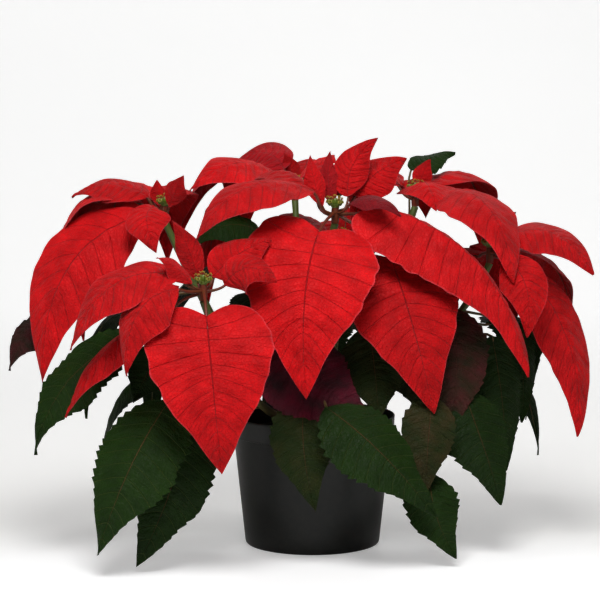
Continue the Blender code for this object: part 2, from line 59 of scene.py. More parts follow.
def deselect():
    """Nothing stays selected and object mode is on, so that the next operator acts on its own piece."""
    if bpy.context.object and bpy.context.object.mode != "OBJECT":
        bpy.ops.object.mode_set(mode="OBJECT")
    bpy.ops.object.select_all(action="DESELECT")


def select_only(piece):
    deselect()
    piece.select_set(True)
    bpy.context.view_layer.objects.active = piece


def settle(piece):
    """Put a finished piece's place, turn and size into its mesh."""
    select_only(piece)
    bpy.ops.object.transform_apply(location=True, rotation=True, scale=True)


def drawn_up(name, sides, profile):
    """A turned piece: a disc drawn up and out through (radius, height) steps, closed at both ends."""
    deselect()
    radius, height = profile[0]
    bpy.ops.mesh.primitive_circle_add(vertices=sides, radius=radius, fill_type="NGON",
                                      location=(0, 0, height))
    piece = bpy.context.object
    piece.name = piece.data.name = name
    bpy.ops.object.mode_set(mode="EDIT")
    bpy.ops.mesh.select_all(action="SELECT")
    for next_radius, next_height in profile[1:]:
        bpy.ops.mesh.extrude_region_move(TRANSFORM_OT_translate={"value": (0, 0, next_height - height)})
        grow = next_radius / radius
        bpy.ops.transform.resize(value=(grow, grow, 1), center_override=(0, 0, next_height))
        radius, height = next_radius, next_height
    bpy.ops.mesh.select_all(action="SELECT")
    bpy.ops.mesh.normals_make_consistent(inside=False)
    bpy.ops.object.mode_set(mode="OBJECT")
    settle(piece)
    return piece


def cut(piece, cutter):
    """One Boolean cut, applied, and the cutter thrown away."""
    select_only(piece)
    hole = piece.modifiers.new("hole", "BOOLEAN")
    hole.operation, hole.object = "DIFFERENCE", cutter
    bpy.ops.object.modifier_apply(modifier=hole.name)
    bpy.data.objects.remove(cutter, do_unlink=True)


def linear(hex_colour):
    """An sRGB hex colour as linear red, green and blue."""
    values = [int(hex_colour[i:i + 2], 16) / 255 for i in (0, 2, 4)]
    return tuple(v / 12.92 if v <= 0.04045 else ((v + 0.055) / 1.055) ** 2.4 for v in values)


def feed(node, inputs):
    """Fill a node's inputs: each with a value, a hex colour or another node's (node, output)."""
    for name, value in inputs.items():
        if isinstance(value, tuple) and isinstance(value[0], bpy.types.Node):
            node.id_data.links.new(value[0].outputs[value[1]], node.inputs[name])
        else:
            node.inputs[name].default_value = (*linear(value), 1) if isinstance(value, str) else value


def add_node(tree, kind, settings=None, inputs=None, stops=()):
    """A node with its settings, its inputs and, where it has a ramp, the (position, colour) stops of it."""
    node = tree.nodes.new(kind)
    for name, value in (settings or {}).items():
        setattr(node, name, value)
    feed(node, inputs or {})
    for i, (position, colour) in enumerate(stops):
        stop = node.color_ramp.elements[i] if i < 2 else node.color_ramp.elements.new(position)
        stop.position, stop.color = position, (*linear(colour), 1)
    return node


def new_material(name, **values):
    """A material with one Principled shader, and the values of its own sockets."""
    material = bpy.data.materials.new(name)
    material.use_nodes = True
    tree = material.node_tree
    shader = tree.nodes["Principled BSDF"]
    for socket, value in values.items():
        shader.inputs[socket.replace("_", " ")].default_value = value
    return material, tree, shader


def wear(piece, material):
    """Give a piece its material and the body it rides on."""
    piece.data.materials.clear()
    piece.data.materials.append(material)
    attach(piece, "root")


def pot_wall(height):
    """The outer radius of the plain wall at a height."""
    return BASE_RADIUS + (RIM_RADIUS - COLLAR_STEP - BASE_RADIUS) * height / POT_HEIGHT


collar_foot = POT_HEIGHT - COLLAR_HEIGHT
pot = drawn_up("nursery_pot", POT_SIDES, [
    (BASE_RADIUS - 0.0022, 0), (BASE_RADIUS - 0.0009, 0.0004), (BASE_RADIUS - 0.0001, 0.0013),
    (pot_wall(0.003), 0.003), (pot_wall(0.05), 0.05), (pot_wall(collar_foot - 0.001), collar_foot - 0.001),
    (pot_wall(collar_foot) + 0.0003, collar_foot - 0.0002), (RIM_RADIUS - 0.0010, collar_foot + 0.0004),
    (RIM_RADIUS - 0.0007, collar_foot + 0.0012), (RIM_RADIUS - 0.0002, POT_HEIGHT - 0.0022),
    (RIM_RADIUS, POT_HEIGHT - 0.0012), (RIM_RADIUS - 0.0003, POT_HEIGHT - 0.0004),
    (RIM_RADIUS - 0.0009, POT_HEIGHT), (RIM_RADIUS - 0.0013, POT_HEIGHT - 0.0003),
    (RIM_RADIUS - POT_WALL, POT_HEIGHT - 0.0012), (RIM_RADIUS - POT_WALL - 0.0006, collar_foot),
    (pot_wall(collar_foot) - POT_WALL, collar_foot - 0.001), (pot_wall(0.05) - POT_WALL, 0.05),
    (pot_wall(0.006) - POT_WALL, 0.006), (BASE_RADIUS - POT_WALL - 0.002, 0.0024),
])
for i in range(DRAIN_HOLES):
    turn = math.tau * (i + 0.5) / DRAIN_HOLES
    deselect()
    bpy.ops.mesh.primitive_cylinder_add(
        vertices=32, radius=DRAIN_RADIUS, depth=0.02,
        location=(DRAIN_RING * math.cos(turn), DRAIN_RING * math.sin(turn), 0))
    cut(pot, bpy.context.object)
select_only(pot)
bpy.ops.object.shade_smooth_by_angle(angle=math.radians(32))

# Black polypropylene, moulded: IOR 1.49, a soft satin skin under a trace of dust. Its wall ripples over
# about 18 mm, and the tool's fine texture is drawn at 0.9 mm so that it shows.
pot_plastic, tree, shader = new_material("moulded_black_polypropylene", IOR=1.49, Specular_IOR_Level=0.3)
place = add_node(tree, "ShaderNodeTexCoord")
ripple, grain, dust = [
    add_node(tree, "ShaderNodeTexNoise",
             inputs={"Vector": (place, "Object"), "Scale": 1 / size, "Detail": detail})
    for size, detail in ((0.018, 2.0), (0.0009, 2.0), (0.006, 6.0))]
tint = add_node(tree, "ShaderNodeValToRGB", inputs={"Fac": (dust, "Fac")},
                stops=((0.4, "141512"), (0.72, "1C1D18")))
gloss = add_node(tree, "ShaderNodeMapRange",
                 inputs={"Value": (dust, "Fac"), "To Min": 0.30, "To Max": 0.44})
wavy = add_node(tree, "ShaderNodeBump",
                inputs={"Height": (ripple, "Fac"), "Strength": 0.25, "Distance": 0.0006})
skin = add_node(tree, "ShaderNodeBump",
                inputs={"Height": (grain, "Fac"), "Normal": (wavy, "Normal"),
                        "Strength": 0.25, "Distance": 0.0001})
feed(shader, {"Base Color": (tint, "Color"), "Roughness": (gloss, "Result"), "Normal": (skin, "Normal")})
wear(pot, pot_plastic)
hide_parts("pot")


# The soil. Moist dark peat with coarser crumbs and a few pale grains of perlite, pressed in by hand to
# 20 mm below the rim. It fills the pot's inside, and only its lumpy top is ever seen.
SOIL_TOP, LUMP_HEIGHT = 0.098, 0.0012
CRUMBS, PERLITE_EVERY = 260, 13


def joined(name, pieces):
    """Several meshes as one piece."""
    deselect()
    for piece in pieces:
        piece.select_set(True)
    bpy.context.view_layer.objects.active = pieces[0]
    bpy.ops.object.join()
    whole = bpy.context.object
    whole.name = whole.data.name = name
    settle(whole)
    return whole


soil_radius = pot_wall(SOIL_TOP) - POT_WALL - 0.0005
plug = drawn_up("peat_soil", 96, [
    (BASE_RADIUS - POT_WALL - 0.003, 0.0028), (BASE_RADIUS - POT_WALL - 0.001, 0.006),
    (soil_radius - 0.0006, SOIL_TOP - 0.004), (soil_radius - 0.0012, SOIL_TOP - 0.0012),
    *[(soil_radius * (1 - i / 15), SOIL_TOP + 0.0018 * math.sin(2.6 * i / 15)) for i in range(1, 15)],
])
soil_chance = random.Random(5)
for vertex in plug.data.vertices:
    if vertex.co.z > SOIL_TOP - 0.002 and vertex.co.xy.length < soil_radius - 0.002:
        vertex.co.z += soil_chance.uniform(-LUMP_HEIGHT, LUMP_HEIGHT)
crumbs = [plug]
for i in range(CRUMBS):
    turn, far = soil_chance.uniform(0, math.tau), math.sqrt(soil_chance.uniform(0.02, 0.9)) * soil_radius
    deselect()
    bpy.ops.mesh.primitive_ico_sphere_add(
        subdivisions=1, radius=soil_chance.uniform(0.0008, 0.0024), rotation=(turn, far * 90, i),
        location=(far * math.cos(turn), far * math.sin(turn), SOIL_TOP + 0.001))
    crumb = bpy.context.object
    crumb.scale = (1, soil_chance.uniform(0.6, 1), soil_chance.uniform(0.5, 0.9))
    pale = crumb.data.attributes.new("pale", "FLOAT", "POINT")
    pale.data.foreach_set("value", [float(i % PERLITE_EVERY == 0)] * len(crumb.data.vertices))
    crumbs.append(crumb)
soil = joined("peat_soil", crumbs)

# Peat: dark brown fibre, fully rough, with crumbs of 1.5 mm. The perlite grains are the attribute pale.
peat, tree, shader = new_material("moist_peat_and_perlite", Roughness=0.95, Specular_IOR_Level=0.25)
place = add_node(tree, "ShaderNodeTexCoord")
crumble = add_node(tree, "ShaderNodeTexNoise",
                   inputs={"Vector": (place, "Object"), "Scale": 1 / 0.0015, "Detail": 8.0})
earth = add_node(tree, "ShaderNodeValToRGB", inputs={"Fac": (crumble, "Fac")},
                 stops=((0.35, "1A120C"), (0.7, "3E2C1E")))
grains = add_node(tree, "ShaderNodeAttribute", {"attribute_name": "pale"})
mixed = add_node(tree, "ShaderNodeMix", {"data_type": "RGBA"},
                 {0: (grains, "Fac"), 6: (earth, "Color"), 7: "D8D4C8"})
rough = add_node(tree, "ShaderNodeBump",
                 inputs={"Height": (crumble, "Fac"), "Strength": 0.8, "Distance": 0.0012})
feed(shader, {"Base Color": (mixed, 2), "Normal": (rough, "Normal")})
wear(soil, peat)
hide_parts("soil")


# The trunk. The plant's old main stem, woody and brown, cut back when it was young. It stands in the
# soil, and the branches grow out of its side one above the other.
TRUNK_FOOT, TRUNK_TOP, TRUNK_RADIUS = 0.0535, 0.140, 0.0070
trunk = drawn_up("woody_trunk", 40, [
    (TRUNK_RADIUS, TRUNK_FOOT), (TRUNK_RADIUS, 0.097), (TRUNK_RADIUS * 1.06, 0.101),
    (TRUNK_RADIUS * 0.99, 0.106), (TRUNK_RADIUS, 0.112), (TRUNK_RADIUS * 0.97, 0.120),
    (TRUNK_RADIUS * 1.02, 0.126), (TRUNK_RADIUS * 0.98, 0.132), (TRUNK_RADIUS * 0.93, 0.137),
    (TRUNK_RADIUS * 0.72, 0.1392), (TRUNK_RADIUS * 0.4, TRUNK_TOP),
])
select_only(trunk)
bpy.ops.object.shade_smooth_by_angle(angle=math.radians(50))

# Young wood of a shrub: thin grey-brown bark, dull, with lengthwise cracks about 3 mm apart.
bark, tree, shader = new_material("thin_shrub_bark", Roughness=0.85)
place = add_node(tree, "ShaderNodeTexCoord")
long_way = add_node(tree, "ShaderNodeMapping", inputs={"Vector": (place, "Object"), "Scale": (1, 1, 0.18)})
cracks = add_node(tree, "ShaderNodeTexNoise",
                  inputs={"Vector": (long_way, "Vector"), "Scale": 1 / 0.003, "Detail": 6.0})
wood = add_node(tree, "ShaderNodeValToRGB", inputs={"Fac": (cracks, "Fac")},
                stops=((0.38, "3A2C20"), (0.65, "7A6448")))
rough = add_node(tree, "ShaderNodeBump",
                 inputs={"Height": (cracks, "Fac"), "Strength": 0.6, "Distance": 0.0006})
feed(shader, {"Base Color": (wood, "Color"), "Normal": (rough, "Normal")})
wear(trunk, bark)
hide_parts("main_stem")


# The green leaves and their branches. Each branch is a soft green stem, brown and firm near the trunk,
# with ringed scars where old leaves fell. Its leaves hang on long reddish stalks; they are thin, matt
# above, wavy and shallowly toothed, with one strong rib and curved side veins that sink into them.
MM = 0.001
LEAF_THICKNESS, STEM_RADIUS, STALK_RADIUS = 0.0005, 0.0036, 0.0013
LEAF_GRID, LEAF_VEINS, LEAF_PUFF = (84, 16), 11, 0.8

# In millimetres: the collar under a head, the gap between grown pieces, one unit of the plane map, and
# the lengths of the edge's wander, of its change of teeth, of a tooth, of the sway and of the crinkles
COLLAR_LENGTH, STEM_GAP, PLANE_UNIT = 14.0, 0.3, 100
WANDER, TOOTH_CHANGE, TOOTH, SWAY, CRINKLE = 14, 20, 8, 30, 7
STEM_STEPS, TRUNK_SIDES = 24, 12

# One half of a blade's edge from its base to its tip: share of the half width, share of the length,
# and where the side vein that ends there leaves the midrib
OUTLINES = {
    "heart": ((0.36, -0.09, 0.03), (0.76, -0.05, 0.07), (0.99, 0.13, 0.15), (0.95, 0.35, 0.27),
              (0.68, 0.61, 0.46), (0.33, 0.83, 0.70)),
    "oval": ((0.36, 0.05, 0.03), (0.80, 0.20, 0.11), (1.0, 0.41, 0.25), (0.80, 0.64, 0.46),
             (0.40, 0.84, 0.70)),
    "slip": ((0.60, 0.16, 0.07), (1.0, 0.45, 0.28), (0.62, 0.74, 0.58)),
    "leaf": ((0.46, 0.04, 0.03), (0.90, 0.19, 0.11), (1.0, 0.37, 0.26), (0.86, 0.57, 0.46),
             (0.54, 0.75, 0.67)),
}

# base, crest and tip of a blade's midrib in millimetres, its full width, the outline's name, the way its
# upper face looks, the fold along the midrib in degrees and how high its edge waves
Blade = namedtuple("Blade", "base crest tip width outline face fold wave")


def bent(shape, bend):
    """The blade with its tip pushed by its neighbours: towards its face, or away from it when negative."""
    push = shape.face * bend
    return shape._replace(crest=shape.crest + push * 0.55, tip=shape.tip + push)


def blade(base, crest, tip, width, outline="oval", face=None, fold=12, wave=1.5, bend=0):
    """A blade placed by its given points. Its upper face looks up and away from its base unless the row says
    more.
    """
    base, crest, tip = Vector(base), Vector(crest), Vector(tip)
    if face is None:
        face = Vector((tip.x - base.x, tip.y - base.y, 0)).normalized() * 0.7 + Vector((0, 0, 1))
    return bent(Blade(base, crest, tip, width, outline, Vector(face).normalized(), fold, wave), bend)


def spread(root, azimuth, reach, rise, drop, width, outline="oval", stalk=22, fold=14, bend=0):
    """A blade placed by its compass direction: it rises to its crest and falls past its root's height."""
    turn = math.radians(azimuth)
    out = Vector((math.cos(turn), math.sin(turn), 0))
    base = Vector(root) + out * stalk + Vector((0, 0, 0.35 * rise))
    crest = Vector(root) + out * (stalk + 0.45 * (reach - stalk)) + Vector((0, 0, rise))
    tip = Vector(root) + out * reach - Vector((0, 0, drop))
    face = (out * 0.7 + Vector((0, 0, 1))).normalized()
    return bent(Blade(base, crest, tip, width, outline, face, fold, 1.5), bend)


def midrib(shape, share):
    """The midrib's point and direction at a share of its length; past the base it runs on straight."""
    first = (shape.crest - shape.base).length
    turn = first / (first + (shape.tip - shape.crest).length)
    t = max(share, 0.0)
    point = (shape.base * ((t - turn) * (t - 1) / turn)
             + shape.crest * (t * (t - 1) / (turn * (turn - 1)))
             + shape.tip * (t * (t - turn) / (1 - turn)))
    along = (shape.base * ((2 * t - turn - 1) / turn)
             + shape.crest * ((2 * t - 1) / (turn * (turn - 1)))
             + shape.tip * ((2 * t - turn) / (1 - turn)))
    if share < 0:
        point = point + along * share
    return point, along.normalized()


def edge_at(outline, t):
    """The edge's three shares at t, 0 at the base to 1 at the tip, on a smooth line through its rows."""
    rows = [(0, 0, 0), *OUTLINES[outline], (0, 1, 1)]
    place = t * (len(rows) - 1)
    step = min(int(place), len(rows) - 2)
    f = place - step
    before, a, b, after = (rows[max(step - 1, 0)], rows[step], rows[step + 1],
                           rows[min(step + 2, len(rows) - 1)])
    found = []
    for p, q, r, s in zip(before, a, b, after):
        found.append(q + 0.5 * f * (r - p + f * (2 * p - 5 * q + 4 * r - s + f * (3 * (q - r) + s - p))))
    return max(found[0], 0), found[1], found[2]


def blade_point(shape, side, t, veins, puff, seed):
    """A point of the blade's middle surface, its place on the flat blade and its side vein's start.

    side runs from -1 to 1 across the blade and t from 0, the base, to 1, the tip. The blade is folded and
    waved, its edge wanders and may be toothed, and it is pillowed between its veins and crinkled.
    """
    out, edge, vein = edge_at(shape.outline, t)
    share = vein + (edge - vein) * abs(side) ** 1.5
    point, along = midrib(shape, share)
    normal = (shape.face - along * shape.face.dot(along)).normalized()
    across = along.cross(normal)
    fold = math.radians(shape.fold)
    length = (shape.crest - shape.base).length + (shape.tip - shape.crest).length
    rough = noise.noise(Vector((share * length / WANDER, side * 2, seed + 9))) * 0.06
    if shape.outline == "leaf":
        size = 0.13 + 0.2 * noise.noise(Vector((share * length / TOOTH_CHANGE, side, seed)))
        rough += size * (-(share * length / TOOTH + seed) % 1 - 0.5) * (1 - t) ** 0.3
    point_share = min(max((share - 0.62) / 0.38, 0), 1)
    drawn_out = 1 - 0.12 * math.sin(math.pi * point_share)
    reach = out * shape.width / 2 * abs(side) * (1 + rough * side ** 6) * drawn_out
    wave = shape.wave * side * side * math.sin(9 * share + (1.5 if side > 0 else 0))
    pillow = puff * abs(math.sin(math.pi * veins * vein)) ** 0.6 * min(1, abs(side) * 5) * (1 - side ** 4)
    place = Vector((math.copysign(reach, side), share * length, seed * 10))
    sway = 2.4 * noise.noise(place / SWAY) * abs(side)
    crinkle = 0.9 * puff * noise.noise(place / CRINKLE) * (1 - side ** 6)
    lift = wave + pillow + sway + crinkle - reach * math.sin(fold)
    point = point + across * math.copysign(reach * math.cos(fold), side) + normal * lift
    return point, (math.copysign(reach, side), share * length), vein


def grow_blade(name, shape, grid, veins, puff, seed, flush, tone):
    """A leaf: a flat grid laid along its midrib, curved, pillowed between its veins and given thickness."""
    deselect()
    rows, columns = grid
    bpy.ops.mesh.primitive_grid_add(x_subdivisions=columns, y_subdivisions=rows, size=2)
    leaf = bpy.context.object
    leaf.name = leaf.data.name = name
    mesh = leaf.data
    flat, vein_map = [], []
    for vertex in mesh.vertices:
        side = math.copysign(abs(vertex.co.x) ** 1.15, vertex.co.x)
        t = (vertex.co.y + 1) / 2
        point, plane, vein = blade_point(shape, side, t, veins, puff, seed)
        vertex.co = point * MM
        flat.append((plane[0] / PLANE_UNIT, plane[1] / PLANE_UNIT))
        vein_map.append((side / 2 + 0.5, vein))
    mesh.uv_layers[0].name = "veins"
    mesh.uv_layers.new(name="plane")
    for loop in mesh.loops:
        mesh.uv_layers["veins"].data[loop.index].uv = vein_map[loop.vertex_index]
        mesh.uv_layers["plane"].data[loop.index].uv = flat[loop.vertex_index]
    for attribute, value in (("flush", flush), ("tone", tone), ("vein_count", float(veins))):
        layer = mesh.attributes.new(attribute, "FLOAT", "POINT")
        layer.data.foreach_set("value", [value] * len(mesh.vertices))
    bpy.ops.object.mode_set(mode="EDIT")
    bpy.ops.mesh.select_all(action="SELECT")
    bpy.ops.mesh.remove_doubles(threshold=0.00002)
    bpy.ops.object.mode_set(mode="OBJECT")
    skin = leaf.modifiers.new("skin", "SOLIDIFY")
    skin.thickness, skin.offset = LEAF_THICKNESS, 0
    bpy.ops.object.modifier_apply(modifier=skin.name)
    bpy.ops.object.shade_smooth_by_angle(angle=math.radians(50))
    return leaf


def bent_rod(name, paths):
    """Round rods along paths of (point in millimetres, radius in metres), as one mesh."""
    curve = bpy.data.curves.new(name, "CURVE")
    curve.dimensions, curve.bevel_depth, curve.bevel_resolution = "3D", 1.0, 2
    curve.resolution_u = 4
    curve.use_fill_caps = True
    for path in paths:
        spline = curve.splines.new("BEZIER")
        spline.bezier_points.add(len(path) - 1)
        for bend, (point, radius) in zip(spline.bezier_points, path):
            bend.co, bend.radius = point * MM, radius
            bend.handle_left_type = bend.handle_right_type = "AUTO"
    rod = bpy.data.objects.new(name, curve)
    bpy.context.scene.collection.objects.link(rod)
    select_only(rod)
    bpy.ops.object.convert(target="MESH")
    bpy.ops.object.shade_smooth()
    return bpy.context.object


def stalk_path(root, shape):
    """A leaf's stalk from its root to the blade, and on as the rib that stands out below the blade."""
    reach = shape.base - root
    middle = root + Vector((reach.x * 0.65, reach.y * 0.65, reach.z * (0.3 if reach.z > 0 else 0.5)))
    size = min(1.0, 0.45 + shape.width / 90) * STALK_RADIUS
    start, along = midrib(shape, 0)
    behind = (shape.face - along * shape.face.dot(along)).normalized() * (size / MM + 0.2)
    path = [(root, size * 1.25), (middle, size), (start - behind, size)]
    for share in (0.08, 0.2, 0.4, 0.65, 0.9):
        point, along = midrib(shape, share)
        normal = (shape.face - along * shape.face.dot(along)).normalized()
        radius = size * (1 - share) ** 0.8 * 0.8
        path.append((point - normal * (radius / MM + 0.3), max(radius, 0.00012)))
    return path


# Where each branch's head sits, in millimetres, and the height at which the branch leaves the trunk
HUBS = {
    "a": Vector((20, -20, 300)),
    "b": Vector((-94, -110, 240)),
    "c": Vector((161, 10, 262)),
    "d": Vector((-133, 0, 300)),
    "e": Vector((-16, 115, 312)),
    "f": Vector((97, 90, 308)),
    "g": Vector((30, 178, 256)),
}
TRUNK_HEIGHTS = {"a": 118.0, "b": 112.0, "c": 130.0, "d": 126.0, "e": 129.0, "f": 118.0, "g": 107.0}


def branch_path(name):
    """The line of a branch: out of the trunk's side, then up to its head."""
    hub = HUBS[name]
    flat = math.tau / TRUNK_SIDES
    turn = (round(math.atan2(hub.y, hub.x) / flat - 0.5) + 0.5) * flat
    out = Vector((math.cos(turn), math.sin(turn), 0))
    start = out * (TRUNK_RADIUS / MM * math.cos(flat / 2) + STEM_GAP) + Vector((0, 0, TRUNK_HEIGHTS[name]))
    end = hub - Vector((0, 0, COLLAR_LENGTH / 2 + STEM_GAP))
    reach = Vector((end.x, end.y, 0)).length
    lean = Vector((end.x, end.y, 0)).normalized() * 0.45 + Vector((0, 0, 1))
    first, second = start + out * (0.3 * reach + 8), end - lean * 70
    return [start * (1 - t) ** 3 + first * 3 * t * (1 - t) ** 2 + second * 3 * t * t * (1 - t) + end * t ** 3
            for t in (i / STEM_STEPS for i in range(STEM_STEPS + 1))]


def along_path(path, share):
    """The point at a share of a path."""
    place = share * (len(path) - 1)
    step = min(int(place), len(path) - 2)
    return path[step].lerp(path[step + 1], place - step)


# Leaves of each branch: the share of the branch's length at which the stalk leaves it, and the blade
FRONT = (0, -1, 0.25)
LEAVES = {
    "a": [
        (0.62, blade((-7, -82, 147), (-9, -101, 122), (2, -108, 50), 58, "leaf", FRONT, 12, 2.5)),
        (0.55, blade((12, -95, 138), (38, -116, 121), (105, -124, 48),
                     70, "leaf", (0.3, -1, 0.7), 12, 2.5)),
        (0.74, blade((-34, -58, 194), (-8, -76, 168), (51, -90, 126), 84, "leaf", (0.2, -1, 0.6), 10, 2.5)),
        (0.74, blade((50, -32, 200), (54, -47, 172), (58, -64, 122), 60, "leaf", FRONT, 12, 2.5)),
    ],
    "b": [
        (0.45, blade((-124, -108, 146), (-145, -136, 114), (-183, -148, 20),
                     80, "leaf", (-0.4, -1, 0.3), 10, 2.5)),
        (0.38, blade((-108, -94, 128), (-114, -116, 98), (-152, -128, 5),
                     68, "leaf", (0.2, -1, 0.3), 10, 2.5)),
        (0.62, blade((-158, -66, 196), (-196, -74, 176), (-244, -80, 94),
                     62, "leaf", (-0.5, -0.8, 0.6), 12, 3.5)),
        (0.55, blade((-136, -62, 188), (-146, -72, 164), (-157, -80, 140), 40, "leaf", FRONT, 12, 2.5)),
    ],
    "c": [
        (0.60, blade((105, -70, 144), (102, -88, 124), (98, -98, 63),
                     48, "leaf", (0.1, -1, 0.3), 10, 2.5, bend=-4)),
        (0.45, blade((103, -78, 78), (104, -98, 56), (124, -108, 8), 50, "leaf", (0.2, -1, 0.4), 10, 2.5)),
        (0.55, blade((134, -40, 144), (145, -55, 115), (166, -72, 48),
                     64, "leaf", (0.4, -1, 0.4), 12, 2.5)),
        (0.66, blade((162, -6, 190), (170, -18, 139), (174, -30, 71), 48, "leaf", (0.4, -1, 0.3), 12, 2.5)),
        (0.78, blade((186, 16, 196), (191, 10, 164), (191, 4, 109), 34, "leaf", (0.4, -1, 0.3), 12, 2.5)),
        (0.70, spread((150, 30, 190), 52, 96, 16, 84, 60, "leaf", bend=-12)),
        (0.72, blade((126, -22, 216), (128, -40, 176), (121, -54, 108),
                     60, "leaf", (0.1, -1, 0.3), 12, 2.5)),
        (0.50, spread((110, 10, 150), 24, 112, 8, 80, 60, "leaf")),
        (0.62, blade((84, -20, 205), (92, -36, 172), (108, -52, 122),
                     58, "leaf", (0.2, -1, 0.4), 12, 2.5, bend=-12)),
    ],
    "d": [
        (0.72, blade((-222, -2, 208), (-244, -8, 202), (-273, -18, 160),
                     48, "leaf", (-0.5, -0.8, 0.6), 12, 2.5)),
        (0.60, spread((-110, 20, 200), 160, 108, 12, 96, 64, "leaf")),
        (0.50, spread((-90, 20, 170), 128, 104, 10, 96, 64, "leaf")),
        (0.42, spread((-80, 0, 150), 186, 112, 8, 100, 62, "leaf")),
    ],
    "e": [
        (0.74, spread((-30, 104, 236), 152, 132, 6, 92, 66, "leaf")),
        (0.60, spread((-20, 90, 210), 112, 128, 8, 104, 66, "leaf")),
        (0.76, blade((-50, 66, 280), (-76, 56, 286), (-108, 44, 266),
                     44, "leaf", (-0.1, -0.6, 0.8), 12, 2)),
    ],
    "f": [
        (0.90, blade((94, 118, 334), (112, 126, 343), (138, 138, 350), 32, "leaf", (0.1, -0.5, 1), 12, 2)),
        (0.55, spread((70, 70, 190), 62, 128, 8, 110, 64, "leaf")),
        (0.40, spread((50, 60, 150), 42, 116, 8, 96, 62, "leaf")),
    ],
    "g": [
        (0.60, spread((20, 120, 180), 98, 108, 6, 112, 68, "leaf")),
        (0.52, spread((16, 100, 160), 140, 108, 6, 110, 66, "leaf")),
        (0.68, spread((24, 130, 190), 60, 104, 8, 104, 64, "leaf")),
        (0.36, spread((10, 70, 130), 116, 96, 6, 96, 60, "leaf")),
    ],
}

# How red the leaves are that are turning, by branch and row; the others are green
FLUSHES = {("a", 0): 0.1, ("a", 2): 1.0, ("a", 3): 0.1, ("c", 0): 0.2, ("c", 6): 0.5, ("c", 8): 0.2,
           ("d", 0): 0.6}


def leaf_skin(name, **values):
    """What a green leaf and a red bract share: veins from the veins map, a net between them, their relief.

    The net's cells are 3 mm, the patches of colour 22 mm, and the crumples run along the side veins.
    """
    material, tree, shader = new_material(name, **values)
    veins = add_node(tree, "ShaderNodeUVMap", {"uv_map": "veins"})
    plane = add_node(tree, "ShaderNodeUVMap", {"uv_map": "plane"})
    count = add_node(tree, "ShaderNodeAttribute", {"attribute_name": "vein_count"})
    parts = add_node(tree, "ShaderNodeSeparateXYZ", inputs={"Vector": (veins, "UV")})
    times = add_node(tree, "ShaderNodeMath", {"operation": "MULTIPLY"}, {0: (parts, "Y"), 1: (count, "Fac")})
    wave = add_node(tree, "ShaderNodeMath", {"operation": "PINGPONG"}, {0: (times, "Value"), 1: 0.5})
    side_vein = add_node(tree, "ShaderNodeMapRange", {"interpolation_type": "SMOOTHSTEP"},
                         {"Value": (wave, "Value"), "From Min": 0.035, "From Max": 0.0})
    offset = add_node(tree, "ShaderNodeMath", {"operation": "SUBTRACT"}, {0: (parts, "X"), 1: 0.5})
    from_rib = add_node(tree, "ShaderNodeMath", {"operation": "ABSOLUTE"}, {0: (offset, "Value")})
    rib = add_node(tree, "ShaderNodeMapRange", {"interpolation_type": "SMOOTHSTEP"},
                   {"Value": (from_rib, "Value"), "From Min": 0.009, "From Max": 0.002})
    both = add_node(tree, "ShaderNodeMath", {"operation": "MAXIMUM"},
                    {0: (side_vein, "Result"), 1: (rib, "Result")})
    net = add_node(tree, "ShaderNodeTexVoronoi", {"feature": "DISTANCE_TO_EDGE"},
                   {"Vector": (plane, "UV"), "Scale": PLANE_UNIT / 3})
    fine = add_node(tree, "ShaderNodeMapRange", inputs={"Value": (net, "Distance"), "From Max": 0.16})
    patch = add_node(tree, "ShaderNodeTexNoise",
                     inputs={"Vector": (plane, "UV"), "Scale": PLANE_UNIT / 22, "Detail": 3.0})
    along_veins = add_node(tree, "ShaderNodeMapping", inputs={"Vector": (veins, "UV"), "Scale": (5, 34, 1)})
    crumple = add_node(tree, "ShaderNodeTexNoise",
                       inputs={"Vector": (along_veins, "Vector"), "Scale": 1.0, "Detail": 4.0,
                               "Distortion": 0.6})
    sunk = add_node(tree, "ShaderNodeMath", {"operation": "MULTIPLY_ADD"},
                    {0: (both, "Value"), 1: -0.35, 2: (crumple, "Fac")})
    height = add_node(tree, "ShaderNodeMath", {"operation": "MULTIPLY_ADD"},
                      {0: (fine, "Result"), 1: 0.12, 2: (sunk, "Value")})
    relief = add_node(tree, "ShaderNodeBump",
                      inputs={"Height": (height, "Value"), "Strength": 1.0, "Distance": 0.0022})
    feed(shader, {"Normal": (relief, "Normal")})
    marks = {"veins": (both, "Value"), "rib": (rib, "Result"), "net": (fine, "Result"),
             "patch": (patch, "Fac"), "from_rib": (from_rib, "Value")}
    return material, tree, shader, marks


def colour_skin(tree, shader, body, layers, contrast):
    """Lay each (share, colour) over the body colour in turn, then shade the whole blade by its tone."""
    for share, colour in layers:
        body = add_node(tree, "ShaderNodeMix", {"data_type": "RGBA"}, {0: share, 6: (body, 2), 7: colour})
    tone = add_node(tree, "ShaderNodeAttribute", {"attribute_name": "tone"})
    lighter = add_node(tree, "ShaderNodeMath", {"operation": "MULTIPLY_ADD"},
                       {0: (tone, "Fac"), 1: contrast, 2: 1.0})
    shade = add_node(tree, "ShaderNodeHueSaturation",
                     inputs={"Color": (body, 2), "Value": (lighter, "Value")})
    feed(shader, {"Base Color": (shade, "Color")})


